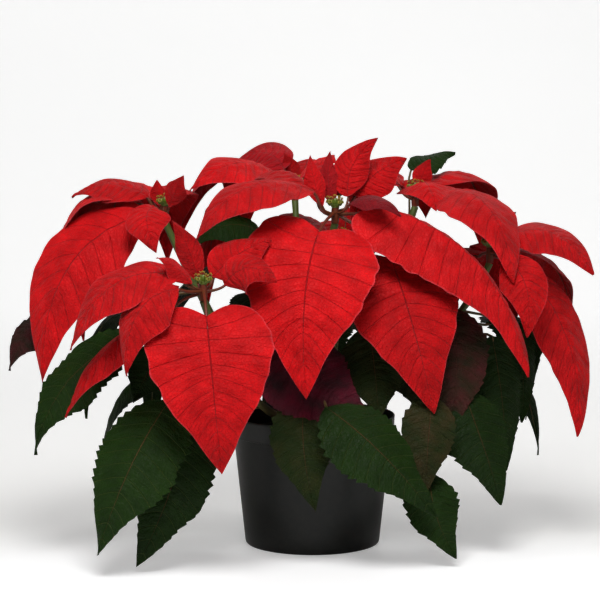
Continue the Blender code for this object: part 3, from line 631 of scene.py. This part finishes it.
# Poinsettia leaf: dark green and matt with a waxy glint, paler along its veins and red-brown on its rib.
# A leaf that is turning is brown all over, with dark red patches.
green_leaf, tree, shader, marks = leaf_skin("poinsettia_leaf_green", Roughness=0.5, IOR=1.42,
                                            Specular_IOR_Level=0.14)
body = add_node(tree, "ShaderNodeMix", {"data_type": "RGBA"}, {0: marks["patch"], 6: "0C1C05", 7: "1E3608"})
lined = add_node(tree, "ShaderNodeMath", {"operation": "MULTIPLY"}, {0: marks["veins"], 1: 0.4})
ribbed = add_node(tree, "ShaderNodeMath", {"operation": "MULTIPLY"}, {0: marks["rib"], 1: 0.6})
flush = add_node(tree, "ShaderNodeAttribute", {"attribute_name": "flush"})
blotch = add_node(tree, "ShaderNodeMapRange",
                  inputs={"Value": marks["patch"], "From Min": 0.35, "From Max": 0.65})
flushed = add_node(tree, "ShaderNodeMath", {"operation": "MULTIPLY"},
                   {0: (flush, "Fac"), 1: (blotch, "Result")})
colour_skin(tree, shader, body, (((lined, "Value"), "5A6832"), ((ribbed, "Value"), "5A2A22"),
                                 ((flush, "Fac"), "2A1418"), ((flushed, "Value"), "5A1224")), 0.6)

# Green stem: smooth and slightly waxy, brown at its foot by the trunk and olive under its head.
green_stem, tree, shader = new_material("soft_green_stem", Roughness=0.5, IOR=1.42)
place = add_node(tree, "ShaderNodeTexCoord")
parts = add_node(tree, "ShaderNodeSeparateXYZ", inputs={"Vector": (place, "Object")})
rise = add_node(tree, "ShaderNodeMapRange",
                inputs={"Value": (parts, "Z"), "From Min": 0.10, "From Max": 0.30})
climb = add_node(tree, "ShaderNodeValToRGB", inputs={"Fac": (rise, "Result")},
                 stops=((0, "6A5238"), (0.45, "4C5E2A"), (1, "5A6A2C")))
speckle = add_node(tree, "ShaderNodeTexNoise",
                   inputs={"Vector": (place, "Object"), "Scale": 1 / 0.004, "Detail": 4.0})
dotted = add_node(tree, "ShaderNodeMath", {"operation": "MULTIPLY"}, {0: (speckle, "Fac"), 1: 0.35})
body = add_node(tree, "ShaderNodeMix", {"data_type": "RGBA"},
                {0: (dotted, "Value"), 6: (climb, "Color"), 7: "2E3A18"})
feed(shader, {"Base Color": (body, 2)})

# Leaf stalk: thin, round and smooth, mottled red and green over about 12 mm.
red_stalk, tree, shader = new_material("reddish_leaf_stalk", Roughness=0.45, IOR=1.42)
place = add_node(tree, "ShaderNodeTexCoord")
mottle = add_node(tree, "ShaderNodeTexNoise",
                  inputs={"Vector": (place, "Object"), "Scale": 1 / 0.012, "Detail": 3.0})
body = add_node(tree, "ShaderNodeMix", {"data_type": "RGBA"}, {0: (mottle, "Fac"), 6: "5E2A26", 7: "56602C"})
feed(shader, {"Base Color": (body, 2)})

# A stem thins towards its head, and swells at every fourth step for a scar
leaf_chance = random.Random(11)
for name, rows in LEAVES.items():
    path = branch_path(name)
    radii = [STEM_RADIUS * (1.1 - 0.25 * i / STEM_STEPS) * (1.07 if i % 4 == 0 else 0.98)
             for i in range(STEM_STEPS + 1)]
    stem = bent_rod("stem_" + name, [list(zip(path, radii))])
    wear(stem, green_stem)
    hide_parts("branch_" + name)
    leaves, stalks = [], []
    for i, (share, shape) in enumerate(rows):
        leaves.append(grow_blade(f"leaf_{name}_{i}", shape, LEAF_GRID, LEAF_VEINS, LEAF_PUFF,
                                 leaf_chance.uniform(0, 50), FLUSHES.get((name, i), 0.0),
                                 leaf_chance.uniform(-0.35, 0.35)))
        stalks.append(stalk_path(along_path(path, share), shape))
    foliage = joined("leaves_" + name, leaves)
    wear(foliage, green_leaf)
    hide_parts("branch_" + name)
    stalk_piece = bent_rod("leaf_stalks_" + name, stalks)
    wear(stalk_piece, red_stalk)
    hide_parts("branch_" + name)


# The red bracts. They are leaves that colour red in short days, each on its own stalk round the top of a
# branch, the largest and lowest ones heart-shaped. They are thin and velvety, with the veins pressed in
# from above so that the blade is quilted between them.
LARGE_GRID, BRACT_GRID, YOUNG_GRID = (96, 32), (72, 24), (24, 8)

# The bracts of each head, of which "slip" is a young one; their stalks leave the head just below its top
HEADS = {
    "a": [
        blade((5, -60, 288), (-3, -88, 262), (-6, -122, 150), 118, "heart", (0, -1, 0.6), 6),
        blade((70, -36, 262), (78, -58, 238), (106, -84, 131), 102, "heart", (0.1, -1, 0.5), 10),
        blade((60, -36, 309), (116, -48, 290), (192, -74, 168), 98, "heart", (0.35, -0.45, 0.8), 32, bend=-8),
        blade((2, -34, 322), (-42, -52, 331), (-101, -80, 283), 72, "oval", (-0.1, -0.35, 1), 14),
        blade((32, -8, 316), (34, 4, 338), (59, 12, 368), 34, "oval", FRONT, 16),
        blade((38, 4, 316), (60, 18, 337), (86, 32, 348), 44, "oval", (0.1, -0.8, 0.6), 16),
        blade((32, -34, 311), (50, -50, 316), (77, -64, 302), 22, "slip", (0, -0.7, 0.8), 20),
        blade((18, -8, 309), (14, -2, 333), (16, 8, 356), 19, "slip", FRONT, 18),
        blade((9, -16, 308), (1, -12, 332), (-2, -2, 352), 20, "slip", FRONT, 18),
        spread((20, -20, 304), 150, 88, 34, -20, 52),
        spread((20, -20, 304), 78, 84, 34, -16, 46),
    ],
    "b": [
        blade((-90, -141, 223), (-87, -158, 199), (-77, -164, 93), 107, "heart", (0.05, -1, 0.5), 5),
        blade((-113, -118, 255), (-149, -126, 257), (-206, -130, 193), 62, "oval", (-0.4, -0.6, 0.8), 14),
        blade((-114, -132, 246), (-136, -148, 239), (-157, -154, 174), 54, "oval", (-0.5, -0.9, 0.5), 26),
        blade((-122, -104, 226), (-166, -104, 201), (-213, -110, 132), 44, "oval", (-0.6, -0.5, 0.7), 24),
        blade((-99, -100, 248), (-106, -101, 274), (-120, -108, 301), 24, "slip", FRONT, 18),
        blade((-104, -116, 248), (-116, -122, 262), (-132, -130, 272), 22, "slip", (0, -0.7, 0.7), 18),
        blade((-86, -98, 252), (-66, -88, 270), (-36, -74, 282), 50, "oval", (0, -0.8, 0.8), 16),
        blade((-76, -104, 246), (-58, -111, 261), (-31, -118, 250), 46, "oval", (0.2, -0.8, 0.8), 16),
    ],
    "c": [
        blade((172, -16, 262), (186, -38, 246), (189, -52, 194), 44, "oval", (0.1, -1, 0.3), 8),
        blade((172, 4, 277), (200, -2, 288), (252, -18, 250), 66, "oval", (0.05, -0.4, 1), 14, bend=-4),
        blade((182, 35, 266), (216, 52, 256), (243, 60, 190), 64, "oval", None, 14),
        blade((192, 4, 250), (218, -2, 214), (239, -20, 100), 58, "oval", (0.6, -0.9, 0.4), 12),
        blade((166, 21, 270), (174, 22, 288), (186, 20, 302), 20, "slip", FRONT, 18, bend=-8),
        spread((161, 10, 260), 76, 100, 8, 108, 68, bend=4),
        spread((161, 10, 258), 114, 86, 6, 96, 58),
    ],
    "d": [
        blade((-150, -16, 300), (-188, -32, 284), (-240, -44, 153), 86, "oval", (-0.4, -0.9, 0.5), 14),
        blade((-148, 0, 315), (-178, 6, 326), (-218, 12, 314), 50, "oval", (-0.1, -0.4, 1), 14),
        blade((-141, -26, 308), (-146, -46, 302), (-137, -62, 270), 42, "oval", (-0.2, -1, 0.5), 10),
        blade((-128, -16, 308), (-122, -24, 322), (-115, -30, 336), 22, "slip", FRONT, 20),
        blade((-138, 11, 307), (-140, 13, 318), (-141, 14, 330), 16, "slip", FRONT, 18),
        spread((-133, 0, 302), 166, 110, 22, 76, 74, bend=-12),
        spread((-133, 0, 302), 124, 108, 24, 64, 74),
        spread((-133, 0, 302), 92, 92, 28, 40, 62, bend=-16),
        spread((-133, 0, 296), 146, 96, 6, 118, 66),
    ],
    "e": [
        blade((-34, 92, 331), (-60, 72, 343), (-113, 50, 318), 72, "oval", (-0.1, -0.5, 1), 12),
        blade((-26, 124, 334), (-40, 140, 348), (-74, 160, 340), 44, "oval", (-0.2, -0.6, 0.8), 12),
        blade((-8, 100, 328), (0, 84, 342), (22, 60, 344), 50, "oval", (0, -0.6, 1), 12),
        spread((-16, 115, 314), 164, 120, 24, 60, 76),
        spread((-16, 115, 314), 118, 118, 24, 70, 80, bend=8),
        blade((-18, 127, 320), (-21, 128, 336), (-26, 126, 350), 20, "slip", FRONT, 18),
        spread((-16, 115, 306), 196, 96, 8, 40, 58),
        spread((-16, 115, 308), 140, 112, 8, 110, 74),
        spread((-16, 115, 312), 74, 84, 30, 8, 60),
    ],
    "f": [
        blade((112, 58, 316), (142, 20, 308), (172, -34, 226), 76, "oval", (0.3, -0.5, 0.8), 16, bend=20),
        blade((84, 74, 322), (72, 56, 330), (66, 36, 318), 44, "oval", (0, -0.7, 0.8), 12),
        spread((97, 90, 304), 22, 100, 12, 70, 66),
        spread((97, 90, 310), 48, 112, 22, 74, 74),
        spread((97, 90, 310), 128, 92, 26, 40, 62),
        blade((101, 102, 316), (105, 105, 331), (112, 106, 345), 20, "slip", FRONT, 18),
        spread((97, 90, 304), 80, 84, 22, 20, 58),
        blade((100, 66, 318), (104, 42, 326), (112, 8, 302), 58, "oval", (0.1, -0.7, 0.9), 14),
    ],
    "g": [
        spread((30, 178, 258), 92, 94, 20, 116, 96, "oval"),
        spread((30, 178, 258), 142, 98, 24, 92, 84, "oval", bend=8),
        spread((30, 178, 258), 38, 102, 26, 86, 80, "oval", bend=4),
        spread((30, 178, 258), 186, 92, 28, 44, 60),
        spread((30, 178, 258), 352, 88, 28, 38, 60),
        blade((32, 190, 264), (34, 194, 280), (36, 200, 296), 20, "slip", (0, 1, 0.25), 18),
        spread((30, 178, 264), 66, 76, 30, 10, 46, bend=-4),
    ],
}

# Young bracts that are still between green and red, by head and row: how dark each is
DARK_BRACTS = {("a", 6): 0.6, ("a", 7): 0.3, ("e", 1): 0.35, ("c", 4): 0.4}

# Velvety red bract: IOR 1.4, dull, with a soft sheen from its fine hairs. Its veins and the net between
# them are a darker crimson, its thin edge has a painted pale pink highlight, and its colour drifts over
# about 22 mm.
red_bract, tree, shader, marks = leaf_skin("velvety_red_bract", Roughness=0.55, IOR=1.4,
                                           Specular_IOR_Level=0.16, Sheen_Weight=0.05, Sheen_Roughness=0.4)
drift = add_node(tree, "ShaderNodeMapRange",
                 inputs={"Value": marks["patch"], "From Min": 0.3, "From Max": 0.7})
body = add_node(tree, "ShaderNodeMix", {"data_type": "RGBA"},
                {0: (drift, "Result"), 6: "A80408", 7: "DC0E14"})
netted = add_node(tree, "ShaderNodeMath", {"operation": "MULTIPLY_ADD"}, {0: marks["net"], 1: -0.22, 2: 0.22})
lined = add_node(tree, "ShaderNodeMath", {"operation": "MULTIPLY"}, {0: marks["veins"], 1: 0.14})
ribbed = add_node(tree, "ShaderNodeMath", {"operation": "MULTIPLY"}, {0: marks["rib"], 1: 0.6})
# Painted highlight: the last few per cent of each half towards the edge is mixed towards pale pink.
rim = add_node(tree, "ShaderNodeMapRange",
               inputs={"Value": marks["from_rib"], "From Min": 0.485, "From Max": 0.5})
painted_edge_highlight = add_node(tree, "ShaderNodeMath", {"operation": "MULTIPLY"}, {0: (rim, "Result"), 1: 0.3})
flush = add_node(tree, "ShaderNodeAttribute", {"attribute_name": "flush"})
colour_skin(tree, shader, body, (
    ((netted, "Value"), "8E0A12"), ((lined, "Value"), "8A0C14"), ((ribbed, "Value"), "6A060C"),
    ((painted_edge_highlight, "Value"), "E0606A"), ((flush, "Fac"), "3A1420"),
), 0.3)

# Bract stalk and the short top of the branch that carries them: smooth, red over green.
bract_stalk, tree, shader = new_material("red_bract_stalk", Roughness=0.4, IOR=1.42)
place = add_node(tree, "ShaderNodeTexCoord")
mottle = add_node(tree, "ShaderNodeTexNoise",
                  inputs={"Vector": (place, "Object"), "Scale": 1 / 0.010, "Detail": 3.0})
body = add_node(tree, "ShaderNodeMix", {"data_type": "RGBA"}, {0: (mottle, "Fac"), 6: "7A0C12", 7: "4E3A18"})
feed(shader, {"Base Color": (body, 2)})

bract_chance = random.Random(23)
for name, rows in HEADS.items():
    hub = HUBS[name]
    bracts, stalks = [], []
    for i, shape in enumerate(rows):
        young = shape.outline == "slip"
        grid = YOUNG_GRID if young else LARGE_GRID if shape.width > 80 else BRACT_GRID
        veins = 7 if young else 12 if shape.outline == "heart" else 10
        bracts.append(grow_blade(f"bract_{name}_{i}", shape, grid, veins, 0.5 if young else 1.2,
                                 bract_chance.uniform(0, 50), DARK_BRACTS.get((name, i), 0.0),
                                 bract_chance.uniform(-0.5, 0.4)))
        stalks.append(stalk_path(hub + Vector((0, 0, 3 - i % 5)), shape))
    half = Vector((0, 0, COLLAR_LENGTH / 2))
    stalks.append([(hub - half, 0.0033), (hub, 0.0037), (hub + half, 0.0031)])
    head = joined("bracts_of_head_" + name, bracts)
    wear(head, red_bract)
    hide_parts("bracts_" + name)
    stalk_piece = bent_rod("bract_stalks_" + name, stalks)
    wear(stalk_piece, bract_stalk)
    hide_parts("bracts_" + name)


# The cyathia. These are the true flowers: small waxy green cups in a tight cluster at each head's middle,
# each with a yellow nectar lip on its side and a tuft of red threads with yellow pollen on its top.
CUP_RADIUS, CUP_HEIGHT = 0.0021, 0.0072
THREADS, RING_FLOWERS, RING_RADIUS = 7, 6, 0.0043
CUP, LIP, THREAD, POLLEN = range(4)


def part_marked(piece, part):
    """Mark a mesh with the part of the flower that it is, which gives it its colour."""
    layer = piece.data.attributes.new("part", "FLOAT", "POINT")
    layer.data.foreach_set("value", [part / 3] * len(piece.data.vertices))
    return piece


def one_cyathium():
    """One cup, drawn in a little towards its top and flat there, with its lip, threads and pollen."""
    deselect()
    bpy.ops.mesh.primitive_uv_sphere_add(segments=20, ring_count=12, radius=CUP_RADIUS)
    cup = bpy.context.object
    for vertex in cup.data.vertices:
        up = vertex.co.z / CUP_RADIUS
        vertex.co.z = (up + 1) / 2 * CUP_HEIGHT
        if up > 0.5:
            vertex.co.xy = vertex.co.xy * 0.92
        if up > 0.9:
            vertex.co.z -= 0.0009
    settle(cup)
    parts = [part_marked(cup, CUP)]
    deselect()
    bpy.ops.mesh.primitive_torus_add(
        major_radius=0.0013, minor_radius=0.0005, major_segments=18, minor_segments=8,
        location=(CUP_RADIUS, 0, CUP_HEIGHT * 0.72), rotation=(0, math.radians(60), 0))
    lip = bpy.context.object
    lip.scale = (1, 1.4, 1)
    settle(lip)
    parts.append(part_marked(lip, LIP))
    for i in range(THREADS):
        turn = math.tau * i / THREADS
        far = Vector((math.cos(turn), math.sin(turn), 0)) * (0.0007 if i % 2 else 0.0013)
        foot = Vector((0, 0, CUP_HEIGHT - 0.0012)) + far * 0.3
        top = Vector((0, 0, CUP_HEIGHT + 0.0016 + 0.0004 * (i % 3))) + far
        thread = bent_rod("thread", [[(foot / MM, 0.00022), (top / MM, 0.00016)]])
        parts.append(part_marked(thread, THREAD))
        deselect()
        bpy.ops.mesh.primitive_ico_sphere_add(subdivisions=2, radius=0.00042, location=top)
        pollen = bpy.context.object
        settle(pollen)
        parts.append(part_marked(pollen, POLLEN))
    cyathium = joined("cyathium", parts)
    select_only(cyathium)
    bpy.ops.object.shade_smooth_by_angle(angle=math.radians(60))
    return cyathium


# Waxy flower: yellow-green cup, yellow lip, crimson threads, pollen yellow, each from its place on the
# attribute part. A little gloss all over.
waxy_flower, tree, shader = new_material("waxy_green_cyathium", Roughness=0.38, IOR=1.45)
which = add_node(tree, "ShaderNodeAttribute", {"attribute_name": "part"})
kinds = add_node(tree, "ShaderNodeValToRGB", inputs={"Fac": (which, "Fac")},
                 stops=((0, "5E6E1E"), (0.2, "8E8024"), (0.5, "8A0E18"), (0.85, "B89A30")))
kinds.color_ramp.interpolation = "CONSTANT"
place = add_node(tree, "ShaderNodeTexCoord")
mottle = add_node(tree, "ShaderNodeTexNoise",
                  inputs={"Vector": (place, "Object"), "Scale": 1 / 0.002, "Detail": 2.0})
faint = add_node(tree, "ShaderNodeMath", {"operation": "MULTIPLY"}, {0: (mottle, "Fac"), 1: 0.3})
body = add_node(tree, "ShaderNodeMix", {"data_type": "RGBA"},
                {0: (faint, "Value"), 6: (kinds, "Color"), 7: "4E6420"})
feed(shader, {"Base Color": (body, 2)})

cyathium = one_cyathium()
flower_chance = random.Random(31)
for name, hub in HUBS.items():
    foot = (hub + Vector((0, 0, COLLAR_LENGTH / 2 + STEM_GAP))) * MM
    deselect()
    bpy.ops.mesh.primitive_cone_add(vertices=24, radius1=0.0033, radius2=0.0045, depth=0.003,
                                    location=foot + Vector((0, 0, 0.0015)))
    pad = bpy.context.object
    settle(pad)
    cluster = [part_marked(pad, CUP)]
    for i in range(RING_FLOWERS + 1):
        flower = cyathium.copy()
        flower.data = cyathium.data.copy()
        bpy.context.scene.collection.objects.link(flower)
        turn = math.tau * i / RING_FLOWERS + flower_chance.uniform(-0.2, 0.2)
        in_middle = i == RING_FLOWERS
        far = 0 if in_middle else RING_RADIUS
        size = 1.05 if in_middle else flower_chance.uniform(0.8, 1.0)
        lean = Matrix.Rotation(0 if in_middle else 0.28, 4, Vector((-math.sin(turn), math.cos(turn), 0)))
        place = Matrix.Translation(foot + Vector((far * math.cos(turn), far * math.sin(turn), 0.0012)))
        flower.data.transform(place @ lean @ Matrix.Rotation(turn, 4, "Z") @ Matrix.Scale(size, 4))
        cluster.append(flower)
    flowers = joined("cyathia_of_head_" + name, cluster)
    wear(flowers, waxy_flower)
    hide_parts("cyathia_" + name)
bpy.data.objects.remove(cyathium, do_unlink=True)


# The studio. A white board curves up behind the plant, under one broad soft light overhead, a weak one
# from the rear and a narrow one at each side that draws a line down the pot, in a white room.
CAMERA_PLACE, CAMERA_TARGET = (-0.0113, -2.0, 0.436), (-0.0113, 0, 0.222)
SENSOR_WIDTH, FOCAL_SHARE = 36, 2222.5 / 600
BOARD_REACH, FLOOR_BACK, BEND_RADIUS, BEND_STEPS, WALL_TOP = 9.0, 1.6, 0.8, 12, 4.0
ROOM_LIGHT, ROOM_SEEN = 0.15, 0.94

camera_data = bpy.data.cameras.new("camera")
camera_data.sensor_width, camera_data.lens = SENSOR_WIDTH, SENSOR_WIDTH * FOCAL_SHARE
camera_data.clip_end = 20
camera = bpy.data.objects.new("camera", camera_data)
camera.location = CAMERA_PLACE
look = Vector(CAMERA_TARGET) - camera.location
camera.rotation_euler = look.to_track_quat("-Z", "Y").to_euler()
bpy.context.scene.collection.objects.link(camera)
bpy.context.scene.camera = camera
bpy.context.scene.view_settings.view_transform = "Standard"

profile = [(-BOARD_REACH, 0.0), (FLOOR_BACK, 0.0)]
for i in range(1, BEND_STEPS + 1):
    turn = math.radians(90 * i / BEND_STEPS)
    profile.append((FLOOR_BACK + BEND_RADIUS * math.sin(turn), BEND_RADIUS * (1 - math.cos(turn))))
profile.append((FLOOR_BACK + BEND_RADIUS, WALL_TOP))
sweep_mesh = bpy.data.meshes.new("white_sweep")
corners = [(x, y, z) for y, z in profile for x in (-BOARD_REACH, BOARD_REACH)]
strips = [(2 * i, 2 * i + 1, 2 * i + 3, 2 * i + 2) for i in range(len(profile) - 1)]
sweep_mesh.from_pydata(corners, [], strips)
sweep_mesh.shade_smooth()
floor = bpy.data.objects.new("white_sweep", sweep_mesh)
bpy.context.scene.collection.objects.link(floor)

# White laminated board with a satin skin, its colour painted with shade: white in front of the pot, a grey
# painted shadow just behind it and paler painted shade further back. The camera alone sees it glow, more
# with the distance, a painted light standing in for a backdrop lit by its own lamps.
board, tree, shader = new_material("satin_white_board", Roughness=0.36, IOR=1.45)
place = add_node(tree, "ShaderNodeTexCoord")
parts = add_node(tree, "ShaderNodeSeparateXYZ", inputs={"Vector": (place, "Object")})
depth = add_node(tree, "ShaderNodeMapRange",
                 inputs={"Value": (parts, "Y"), "From Min": -0.25, "From Max": 1.75})
# Painted shadow: the grey stop just behind the pot, with paler painted shade further back.
board_colour_with_painted_shadow = add_node(tree, "ShaderNodeValToRGB", inputs={"Fac": (depth, "Result")},
                stops=((0, "FFFFFF"), (0.08, "FAFAFA"), (0.15, "D8D7D4"), (0.24, "E4E3E0"),
                       (0.45, "ECEBE9"), (1, "F2F2F1")))
# Painted light: a glow only the camera sees, growing towards the back and with distance from the pot.
glow = add_node(tree, "ShaderNodeValToRGB", inputs={"Fac": (depth, "Result")},
                stops=((0, "959595"), (0.15, "959595"), (0.3, "A6A6A6"), (0.6, "B5B5B5"), (1, "CBCBCB")))
on_floor = add_node(tree, "ShaderNodeVectorMath", {"operation": "MULTIPLY"},
                    {0: (place, "Object"), 1: (1, 1, 0)})
away = add_node(tree, "ShaderNodeVectorMath", {"operation": "LENGTH"}, {0: (on_floor, "Vector")})
far = add_node(tree, "ShaderNodeMapRange",
               inputs={"Value": (away, "Value"), "From Min": 0.5, "From Max": 2.4, "To Max": 0.6})
painted_glow_strength = add_node(tree, "ShaderNodeMath", {"operation": "MAXIMUM"},
                     {0: (glow, "Color"), 1: (far, "Result")})
seen = add_node(tree, "ShaderNodeLightPath")
feed(shader, {"Base Color": (board_colour_with_painted_shadow, "Color"), "Emission Color": (painted_glow_strength, "Value"),
              "Emission Strength": (seen, "Is Camera Ray")})
floor.data.materials.append(board)

world = bpy.data.worlds.new("white_room")
world.use_nodes = True
room = world.node_tree
seen = add_node(room, "ShaderNodeLightPath")
level = add_node(room, "ShaderNodeMapRange",
                 inputs={"Value": (seen, "Is Camera Ray"), "To Min": ROOM_LIGHT, "To Max": ROOM_SEEN})
feed(room.nodes["Background"], {"Color": "FFFFFF", "Strength": (level, "Result")})
bpy.context.scene.world = world

# name, place, target, width and height in metres, and power in watts
LIGHTS = (
    ("overhead_softbox", (-0.04, -0.85, 1.45), (0, 0, 0.22), 0.7, 0.7, 20),
    ("left_strip", (-1.6, -1.1, 0.7), (0, 0, 0.1), 0.22, 1.0, 5),
    ("right_strip", (1.7, -0.9, 0.7), (0, 0, 0.1), 0.16, 1.0, 3),
    ("rear_softbox", (0.5, 1.5, 1.6), (0, 0, 0.2), 1.0, 1.0, 4),
)
for name, place, target, width, height, power in LIGHTS:
    light_data = bpy.data.lights.new(name, "AREA")
    light_data.shape, light_data.energy = "RECTANGLE", power
    light_data.size, light_data.size_y = width, height
    light = bpy.data.objects.new(name, light_data)
    light.location = place
    light.rotation_euler = (Vector(target) - light.location).to_track_quat("-Z", "Y").to_euler()
    bpy.context.scene.collection.objects.link(light)
